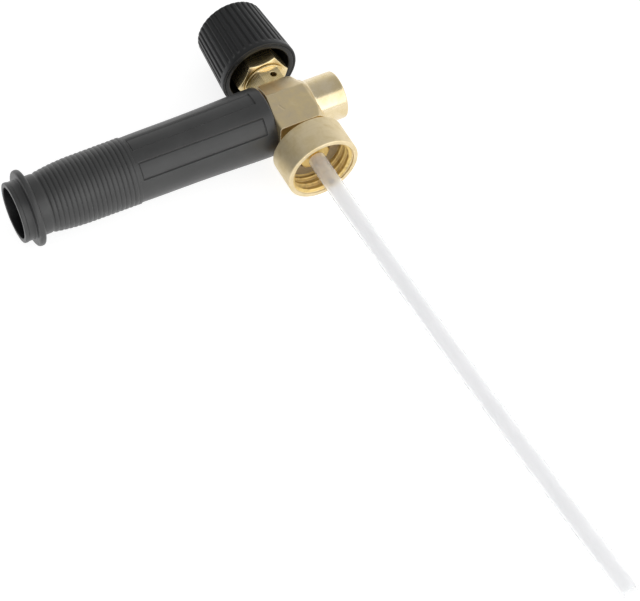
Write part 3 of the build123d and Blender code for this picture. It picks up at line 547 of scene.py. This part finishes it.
PANEL_ANGLES = (8.7, -46.3, 188.7, 133.7)
PANEL_EDGE = 0.22            # width of the recess's sloping wall
PANEL_RADIUS = 15.5          # mean radius, for the angles of the long walls


def rib_envelope(x):
    """Radius over the ribs: a quick swell behind the flange, then a slow taper."""
    along = (x - RIB_START) / (RIB_COUNT * RIB_PITCH)
    swell = 1 - (1 - min(along / RIB_SWELL_LENGTH, 1)) ** 2
    share = RIB_SWELL_SHARE * swell + (1 - RIB_SWELL_SHARE) * along
    return GRIP_START_RADIUS + (GRIP_END_RADIUS - GRIP_START_RADIUS) * share


def rib_points():
    """Rounded ribs with a narrow valley between them."""
    points = []
    for i in range(RIB_COUNT * RIB_STEPS + 1):
        x = RIB_START + i * RIB_PITCH / RIB_STEPS
        crest = abs(math.sin(math.pi * i / RIB_STEPS)) ** RIB_FLATNESS
        points.append(Vector((x, rib_envelope(x) - RIB_DEPTH * (1 - crest))))
    return points


def barrel_panels(position, radius, angles):
    """Pushes the outside in where a grip panel is, with a fine groove along its outline."""
    if radius < GRIP_LEAST_RADIUS or not PANEL_START - 1 < position < PANEL_END + 1:
        return np.full(len(angles), radius)
    half_length = (PANEL_END - PANEL_START) / 2
    along = abs(position - PANEL_START - half_length) - half_length + PANEL_CORNER
    depth = np.zeros(len(angles))
    for centre in PANEL_ANGLES:
        arc = np.abs(np.radians(angle_gap(angles, centre))) * radius
        across = arc - PANEL_HALF_WIDTH + PANEL_CORNER
        corner = np.hypot(max(along, 0), np.maximum(across, 0))
        inside = PANEL_CORNER - corner - np.minimum(np.maximum(along, across), 0)
        groove = 1 - smoothstep(0, PANEL_GROOVE_WIDTH, np.abs(inside - PANEL_GROOVE_PLACE))
        depth += PANEL_DEPTH * smoothstep(0, PANEL_EDGE, inside) + PANEL_GROOVE * groove
    return radius - depth


def barrel_angles():
    """Even angles, with more of them across each panel's long walls."""
    angles = set(np.round(even_angles(BARREL_COLUMNS), 4))
    for centre in PANEL_ANGLES:
        for inside in np.arange(-0.1, 1.01, 0.1):
            away = math.degrees((PANEL_HALF_WIDTH - inside) / PANEL_RADIUS)
            angles.update((round((centre - away) % 360, 4), round((centre + away) % 360, 4)))
    return np.array(sorted(angles))


def grip_points():
    """The smooth grip's section, with close rows across the panels' end walls."""
    rows = np.arange(GRIP_STEP + 0.9, BARREL_END - BARREL_END_ROUND - 0.1, GRIP_ROW)
    for centre, inward in ((PANEL_START, 1), (PANEL_END, -1)):
        rows = np.concatenate([rows, centre + inward * np.linspace(-0.1, 1.0, 12)])
    rows = np.unique(np.round(rows, 4))
    places, radii = np.array(GRIP_SECTION).T
    fit = np.polyfit(places, radii, 4)
    return [Vector((x, np.polyval(fit, x))) for x in rows]


def make_barrel():
    front = rounded([
        (BARREL_END - BARREL_END_ROUND, BARREL_END_RADIUS, 0),
        (BARREL_END, BARREL_END_RADIUS, BARREL_END_ROUND),
        (BARREL_END, SEAL_POCKET_RADIUS, 0.3),
        (SEAL_POCKET_END, SEAL_POCKET_RADIUS, 0.1),
        (SEAL_POCKET_END, THREAD_BORE_RADIUS, 0.1),
        (THREAD_BORE_END, THREAD_BORE_RADIUS, 0.2),
        (THREAD_BORE_END, BARREL_BORE_RADIUS, 0.2),
        (MOUTH, BARREL_BORE_RADIUS, 0.5),
        (MOUTH, LIP_RADIUS, 0.7),
        (MOUTH + LIP_LENGTH, LIP_RADIUS, 0.3),
        (MOUTH + LIP_LENGTH + 0.3, NECK_RADIUS, 0.2),
        (FLANGE_LEFT, NECK_RADIUS, 0.7),
        (FLANGE_LEFT, FLANGE_RADIUS, FLANGE_ROUND),
        (FLANGE_RIGHT, FLANGE_RADIUS, FLANGE_ROUND),
        (FLANGE_RIGHT, COLLAR_RADIUS, 0.7),
        (COLLAR_END, COLLAR_RADIUS, 0.4),
        (RIB_START, rib_envelope(RIB_START) - RIB_DEPTH, 0),
    ], steps=7)[:-1]
    land = rounded([
        (GRIP_LAND_START - 0.3, GRIP_END_RADIUS - 0.3, 0),
        (GRIP_LAND_START, GRIP_END_RADIUS, 0.15),
        (GRIP_STEP, GRIP_END_RADIUS, 0.25),
        (GRIP_STEP, GRIP_STEP_RADIUS, 0.2),
        (GRIP_STEP + 0.6, GRIP_STEP_RADIUS, 0),
    ])
    outline = divided(front + rib_points()[:-1] + land + grip_points(), 3.0)
    vertices, faces = turned(outline, barrel_angles(), "X", barrel_panels)
    new_piece("grip_barrel", vertices, faces, "foam_barrel", "head")


# ---- knob -------------------------------------------------------------------
KNOB_BOTTOM = 26.2
KNOB_TOP = 57.95
KNOB_RIM_RADIUS = 18.71
KNOB_TOP_RADIUS = 16.5
KNOB_OPENING_RADIUS = 14.9
KNOB_GROOVES = 36
KNOB_GROOVE_PHASE = 9.0
KNOB_GROOVE_START = 28.9
KNOB_GROOVE_DEPTH = 0.6
KNOB_GROOVE_COLUMNS = 16     # faces round one groove and rib
KNOB_GROOVE_TOP_SHARE = 0.25 # depth that is left at the top edge
KNOB_WALL = 3.2              # anything deeper under the outside isn't grooved
KNOB_RIM_ROUND = 1.1
RIM_GROOVE_INNER = 1.55      # fine groove in the rim's face, from the outside inwards
RIM_GROOVE_FLOOR = 1.35
RIM_GROOVE_DEPTH = 0.45
CAP_DISC_RADIUS = 9.05       # recess of the cover disc
CAP_DISC_FLOOR = 55.9
SCREW_HEAD_RADIUS = 3.3
SCREW_HEAD_FLOOR = 52.4
SCREW_HOLE_RADIUS = 1.7
SHAFT_TOP = 50.0
SHAFT_HOLE_RADIUS = 4.05
HUB_BOTTOM = 36.0
HUB_RADIUS = 6.5
SKIRT_ROOF = 52.2
SKIRT_ROOF_RADIUS = 14.4


def knob_side(y):
    along = (y - KNOB_BOTTOM) / (KNOB_TOP - KNOB_BOTTOM)
    return KNOB_RIM_RADIUS + (KNOB_TOP_RADIUS - KNOB_RIM_RADIUS) * along


def knob_ribs(position, radius, angles):
    """Grooves between rounded ribs; they fade out at the plain rim and at the top edge."""
    if position < KNOB_GROOVE_START - 0.1 or radius < knob_side(position) - KNOB_WALL:
        return np.full(len(angles), radius)
    phase = np.abs(angle_gap((angles - KNOB_GROOVE_PHASE) * KNOB_GROOVES, 0)) / 180
    groove = (1 - smoothstep(0.12, 0.62, phase)) ** 1.2
    fade = smoothstep(KNOB_GROOVE_START, KNOB_GROOVE_START + 0.9, position)
    fade *= 1 - (1 - KNOB_GROOVE_TOP_SHARE) * smoothstep(KNOB_TOP - 3.0, KNOB_TOP - 0.6, position)
    return radius - KNOB_GROOVE_DEPTH * groove * fade


def make_knob():
    outline = rounded([
        (KNOB_BOTTOM, KNOB_OPENING_RADIUS, 1.2),
        (KNOB_BOTTOM, KNOB_RIM_RADIUS - RIM_GROOVE_INNER, 0.3),
        (KNOB_BOTTOM + RIM_GROOVE_DEPTH, KNOB_RIM_RADIUS - RIM_GROOVE_FLOOR, 0.2),
        (KNOB_BOTTOM + 0.1, KNOB_RIM_RADIUS - KNOB_RIM_ROUND, 0.2),
        (KNOB_BOTTOM, KNOB_RIM_RADIUS, KNOB_RIM_ROUND),
        (KNOB_TOP, KNOB_TOP_RADIUS, 1.5),
        (KNOB_TOP, CAP_DISC_RADIUS, 0.25),
        (CAP_DISC_FLOOR, CAP_DISC_RADIUS, 0.1),
        (CAP_DISC_FLOOR, SCREW_HEAD_RADIUS, 0.1),
        (SCREW_HEAD_FLOOR, SCREW_HEAD_RADIUS, 0.1),
        (SCREW_HEAD_FLOOR, SCREW_HOLE_RADIUS, 0.1),
        (SHAFT_TOP, SCREW_HOLE_RADIUS, 0.05),
        (SHAFT_TOP, SHAFT_HOLE_RADIUS, 0.05),
        (HUB_BOTTOM, SHAFT_HOLE_RADIUS, 0.2),
        (HUB_BOTTOM, HUB_RADIUS, 0.4),
        (SKIRT_ROOF, HUB_RADIUS, 0.5),
        (SKIRT_ROOF, SKIRT_ROOF_RADIUS, 0.8),
    ], steps=8)
    columns = even_angles(KNOB_GROOVES * KNOB_GROOVE_COLUMNS)
    vertices, faces = turned(divided(outline, 0.7), columns, "Y", knob_ribs)
    new_piece("ribbed_knob", vertices, faces, "knob", "knob_and_stem")


# ---- bottle cap -------------------------------------------------------------
CAP_TOP = -20.7
CAP_RIM = -36.4
CAP_RADIUS = 17.2
CAP_CREST = 13.6
CAP_ROOT = 14.9
CAP_PITCH = 3.6
CAP_ROOF = -23.7
CAP_HOLE_RADIUS = 6.55       # for the body's stub and the barb's hexagon
CAP_MOUTH_RADIUS = 15.2
CAP_MOUTH_CHAMFER = 1.4
CAP_COLUMNS = 220


def cap_thread(position, radius, angles):
    """One helical groove of rounded form, fading out at the rim and under the roof."""
    in_bore = CAP_CREST - 0.05 <= radius <= CAP_MOUTH_RADIUS and position <= CAP_ROOF - 0.6
    if not in_bore:
        return np.full(len(angles), radius)
    turn = (position - CAP_RIM) / CAP_PITCH + angles / 360
    phase = np.abs((turn % 1) - 0.5) * 2
    groove = 1 - smoothstep(0.28, 0.78, phase)
    fade_in = smoothstep(CAP_RIM, CAP_RIM + 1.2, position)
    fade_out = 1 - smoothstep(CAP_ROOF - 2.2, CAP_ROOF - 0.8, position)
    return radius + (CAP_ROOT - CAP_CREST) * groove * fade_in * fade_out


def make_cap():
    outline = rounded([
        (CAP_TOP, CAP_HOLE_RADIUS, 0.1),
        (CAP_TOP, CAP_RADIUS, 0.6),
        (CAP_RIM, CAP_RADIUS, 0.7),
        (CAP_RIM, CAP_MOUTH_RADIUS, 0.2),
        (CAP_RIM + CAP_MOUTH_CHAMFER, CAP_CREST, 0.2),
        (CAP_ROOF, CAP_CREST, 0.3),
        (CAP_ROOF, CAP_HOLE_RADIUS, 0.1),
    ])
    vertices, faces = turned(divided(outline, 0.16), even_angles(CAP_COLUMNS), "Y", cap_thread)
    new_piece("threaded_cap", vertices, faces, "bottle_cap", "head")


# ---- dip tube ---------------------------------------------------------------
TUBE_RADIUS = 4.0
TUBE_BORE = 3.0
TUBE_TOP = -29.5
TUBE_LINE = (                # centre line below the straight top: height, sideways drift
    (-46.0, 0.0),
    (-92.0, 1.15),
    (-139.0, 2.45),
    (-184.0, 4.15),
    (-226.0, 6.15),
    (-272.2, 8.55),
)
TUBE_END = TUBE_LINE[-1][0]
TUBE_SIDES = 48
TUBE_NEAR_STEP = 0.2         # rings over the barbs
TUBE_FAR_STEP = 2.0
BARB_CRESTS = (-30.7, -33.9, -37.1, -40.3)
BARB_RAMP = 2.6
BARB_SWELL = 0.09


def tube_swell(y):
    """Swelling of the tube over the barbs under it."""
    for crest in BARB_CRESTS:
        if crest - BARB_RAMP < y <= crest:
            return BARB_SWELL * (1 - (crest - y) / BARB_RAMP)
    return 0.0


def tube_drift(y):
    """Sideways drift of the tube's centre line at a height, and its lean."""
    heights, drifts = np.array(TUBE_LINE).T
    below = np.minimum(y - heights[0], 0)
    line = np.polyfit(heights - heights[0], drifts, 3)
    line[-1] = 0
    drift = np.polyval(line, below)
    lean = np.polyval(np.polyder(line), below) if y < heights[0] else 0.0
    return drift, lean


def tube_ring(y, radius):
    """One ring of the tube, set square to its centre line."""
    drift, lean = tube_drift(y)
    turns = np.radians(even_angles(TUBE_SIDES))
    across = radius * np.sin(turns)
    return np.stack([drift + across, y - lean * across, radius * np.cos(turns)], axis=1)


def make_tube():
    """The tube's outside from top to end, then its bore back to the top."""
    near = np.arange(TUBE_TOP - 0.3, BARB_CRESTS[-1] - 4, -TUBE_NEAR_STEP)
    far = np.arange(near[-1] - TUBE_FAR_STEP, TUBE_END + 0.4, -TUBE_FAR_STEP)
    wall = TUBE_RADIUS - BARB_SWELL
    outline = [(TUBE_TOP, TUBE_RADIUS - 0.25)]
    outline += [(y, wall + tube_swell(y)) for y in np.concatenate([near, far])]
    outline += [(TUBE_END + 0.25, wall), (TUBE_END + 0.02, TUBE_RADIUS - 0.3)]
    outline += [(TUBE_END + 0.02, TUBE_BORE + 0.1), (TUBE_END + 0.2, TUBE_BORE)]
    outline += [(y, TUBE_BORE) for y in (*far[::-1], near[-1], TUBE_TOP)]
    rings = [tube_ring(y, radius) for y, radius in outline]
    vertices = np.concatenate(rings) * MM + np.array(TEE)
    faces = [face[::-1] for face in ring_faces(len(rings), TUBE_SIDES)]
    new_piece("suction_tube", vertices, faces, "dip_tube", "head")


# ---- pieces softened from their CAD solids ----------------------------------
FORGING_VOXEL = 0.22
BONNET_VOXEL = 0.16
GLAND_VOXEL = 0.18
BARB_VOXEL = 0.14
NICK_START = Vector((-6.1, -4.2))
NICK_END = Vector((-5.0, -7.2))
NICK_REACH = 0.5
NICK_DEPTH = 0.26
FLAT_HEIGHT = 12.5           # the forging's upper flat
BONNET_BORE_REACH = 5.4      # everything nearer the valve axis belongs to the bonnet's bores
BONNET_BORE_EASE = 0.12
BONNET_BORE_STEP = 22.6      # step in the bore under the stem's collar
BONNET_STEP_REACH = 0.7


def softened(name, node, body, voxel, rounds):
    """The CAD solid remeshed finely and relaxed, so its edges are rounded as on the real part."""
    source = frame["nodes"][node]
    piece = bpy.data.objects.new(name, source.data.copy())
    bpy.context.scene.collection.objects.link(piece)
    remesh = piece.modifiers.new("remesh", "REMESH")
    remesh.mode = "VOXEL"
    remesh.voxel_size = voxel * MM
    smooth = piece.modifiers.new("relax", "SMOOTH")
    smooth.iterations = rounds
    smooth.factor = 0.5
    bpy.context.view_layer.update()
    graph = bpy.context.evaluated_depsgraph_get()
    mesh = bpy.data.meshes.new_from_object(piece.evaluated_get(graph))
    mesh.name = name
    mesh.shade_smooth()
    piece.modifiers.clear()
    piece.data = mesh
    stand_for(piece, node, body)
    return piece


def nick(piece):
    """Adds a short handling nick to the forging's upper flat."""
    line = NICK_END - NICK_START
    for vertex in piece.data.vertices:
        place = (vertex.co - TEE) / MM
        if place.z < FLAT_HEIGHT - 0.3:
            continue
        here = Vector((place.x, place.y))
        along = min(max((here - NICK_START).dot(line) / line.length_squared, 0), 1)
        away = (here - NICK_START - line * along).length
        if away < NICK_REACH:
            vertex.co.z -= NICK_DEPTH * (1 - away / NICK_REACH) * MM


def ease_bore(piece):
    """Widens the bonnet's bore and lowers its step, so that the stem clears their rounded edges."""
    for vertex in piece.data.vertices:
        place = (vertex.co - TEE) / MM
        away = math.hypot(place.x, place.z)
        if 0 < away < BONNET_BORE_REACH:
            vertex.co.x += place.x / away * BONNET_BORE_EASE * MM
            vertex.co.z += place.z / away * BONNET_BORE_EASE * MM
            if abs(place.y - BONNET_BORE_STEP) < BONNET_STEP_REACH:
                vertex.co.y -= BONNET_BORE_EASE * MM


for name, node in frame["nodes"].items():
    paint(node, material_for(name))

make_barrel()
make_knob()
make_cap()
make_tube()
nick(softened("tee_forging", "brass_body", "head", FORGING_VOXEL, 4))
ease_bore(softened("bonnet_hexagon", "valve_bonnet", "head", BONNET_VOXEL, 3))
softened("gland_hexagon", "gland_nut", "head", GLAND_VOXEL, 3)
softened("barbed_nipple", "hose_barb", "head", BARB_VOXEL, 2)


# ---- floor, light and camera ------------------------------------------------
# Places and sizes in this section are metres.
FLOOR_HALF_SIZE = 6.0
FLOOR_GAP = 0.0001
FLOOR_GLOW = 0.82
FRONT_LIGHT_PLACE = (0.42, -1.20, 0.82)
FRONT_LIGHT_SIZE = (3.4, 1.6)
FRONT_LIGHT_POWER = 17.5
TENT = ((0.0, 0.95), (0.22, 0.95), (0.45, 0.70), (0.7, 0.56), (1.0, 0.50))     # height, brightness
DARK_SIDE = (-0.86, 0.5, 0.0)    # direction of the studio's unlit side
DARK_SIDE_LEVEL = 0.22           # its brightness, as a share of the rest
DARK_SIDE_START = 0.55           # cosine of the angle from its middle where it starts
DARK_SIDE_FULL = 0.96            # and where it is darkest
CAMERA_PLACE = (-0.31244, -0.51215, 0.67328)
CAMERA_AZIMUTH = -121.3117       # of the camera, seen from the object
CAMERA_ELEVATION = 54.2852
CAMERA_ROLL = 4.3264
CAMERA_LENS = 111.08
CAMERA_SENSOR = 36.0


def make_floor():
    """Pale glowing table just under the object."""
    size = FLOOR_HALF_SIZE
    corners = [(-size, -size), (size, -size), (size, size), (-size, size)]
    height = cad_box[0].z - FLOOR_GAP
    mesh = bpy.data.meshes.new("floor")
    mesh.from_pydata([(x, y, height) for x, y in corners], [], [(0, 1, 2, 3)])
    floor = bpy.data.objects.new("floor", mesh)
    bpy.context.scene.collection.objects.link(floor)
    s = Shader("floor_paint", Roughness=0.9, Emission_Color=(1, 1, 1, 1), Emission_Strength=FLOOR_GLOW)
    tone = s.noise(3.0, detail=3.0)
    paint(floor, s.finish(Base_Color=s.ramp(tone, (0.3, 0.35), (0.7, 0.37))))


def make_front_light():
    """One large soft light in front of the object, above it and to its right."""
    light = bpy.data.lights.new("front_light", "AREA")
    light.shape = "RECTANGLE"
    light.size, light.size_y = FRONT_LIGHT_SIZE
    light.energy = FRONT_LIGHT_POWER
    lamp = bpy.data.objects.new("front_light", light)
    lamp.location = FRONT_LIGHT_PLACE
    lamp.rotation_euler = (TEE - lamp.location).to_track_quat("-Z", "Y").to_euler()
    bpy.context.scene.collection.objects.link(lamp)


def make_world():
    """Soft tent: bright round the horizon, dimmer overhead, with one dark side."""
    world = bpy.data.worlds.new("studio")
    world.use_nodes = True
    tree = world.node_tree
    place = tree.nodes.new("ShaderNodeTexCoord")
    split = tree.nodes.new("ShaderNodeSeparateXYZ")
    ramp = tree.nodes.new("ShaderNodeValToRGB")
    toward = tree.nodes.new("ShaderNodeVectorMath")
    side = tree.nodes.new("ShaderNodeMapRange")
    background = tree.nodes["Background"]
    set_stops(ramp, TENT)
    toward.operation = "DOT_PRODUCT"
    toward.inputs[1].default_value = DARK_SIDE
    side.inputs["From Min"].default_value = DARK_SIDE_START
    side.inputs["From Max"].default_value = DARK_SIDE_FULL
    side.inputs["To Min"].default_value = 1.0
    side.inputs["To Max"].default_value = DARK_SIDE_LEVEL
    tree.links.new(place.outputs["Generated"], split.inputs[0])
    tree.links.new(place.outputs["Generated"], toward.inputs[0])
    tree.links.new(split.outputs["Z"], ramp.inputs["Fac"])
    tree.links.new(toward.outputs["Value"], side.inputs["Value"])
    tree.links.new(ramp.outputs["Color"], background.inputs["Color"])
    tree.links.new(side.outputs["Result"], background.inputs["Strength"])
    bpy.context.scene.world = world


def make_camera():
    """Camera at the photograph's angle, rolled a little about its own axis."""
    camera = bpy.data.cameras.new("camera")
    camera.sensor_width = CAMERA_SENSOR
    camera.lens = CAMERA_LENS
    camera.clip_end = 20.0
    eye = bpy.data.objects.new("camera", camera)
    azimuth, elevation = math.radians(CAMERA_AZIMUTH), math.radians(CAMERA_ELEVATION)
    level = math.cos(elevation)
    back = Vector((level * math.cos(azimuth), level * math.sin(azimuth), math.sin(elevation)))
    right = Vector((-math.sin(azimuth), math.cos(azimuth), 0))
    turn = Matrix((right, back.cross(right), back)).transposed()
    turn = turn @ Matrix.Rotation(math.radians(CAMERA_ROLL), 3, "Z")
    eye.matrix_world = Matrix.Translation(CAMERA_PLACE) @ turn.to_4x4()
    bpy.context.scene.collection.objects.link(eye)
    bpy.context.scene.camera = eye


make_floor()
make_world()
make_front_light()
make_camera()
bpy.context.scene.view_settings.view_transform = "Standard"
bpy.context.scene.view_settings.look = "None"
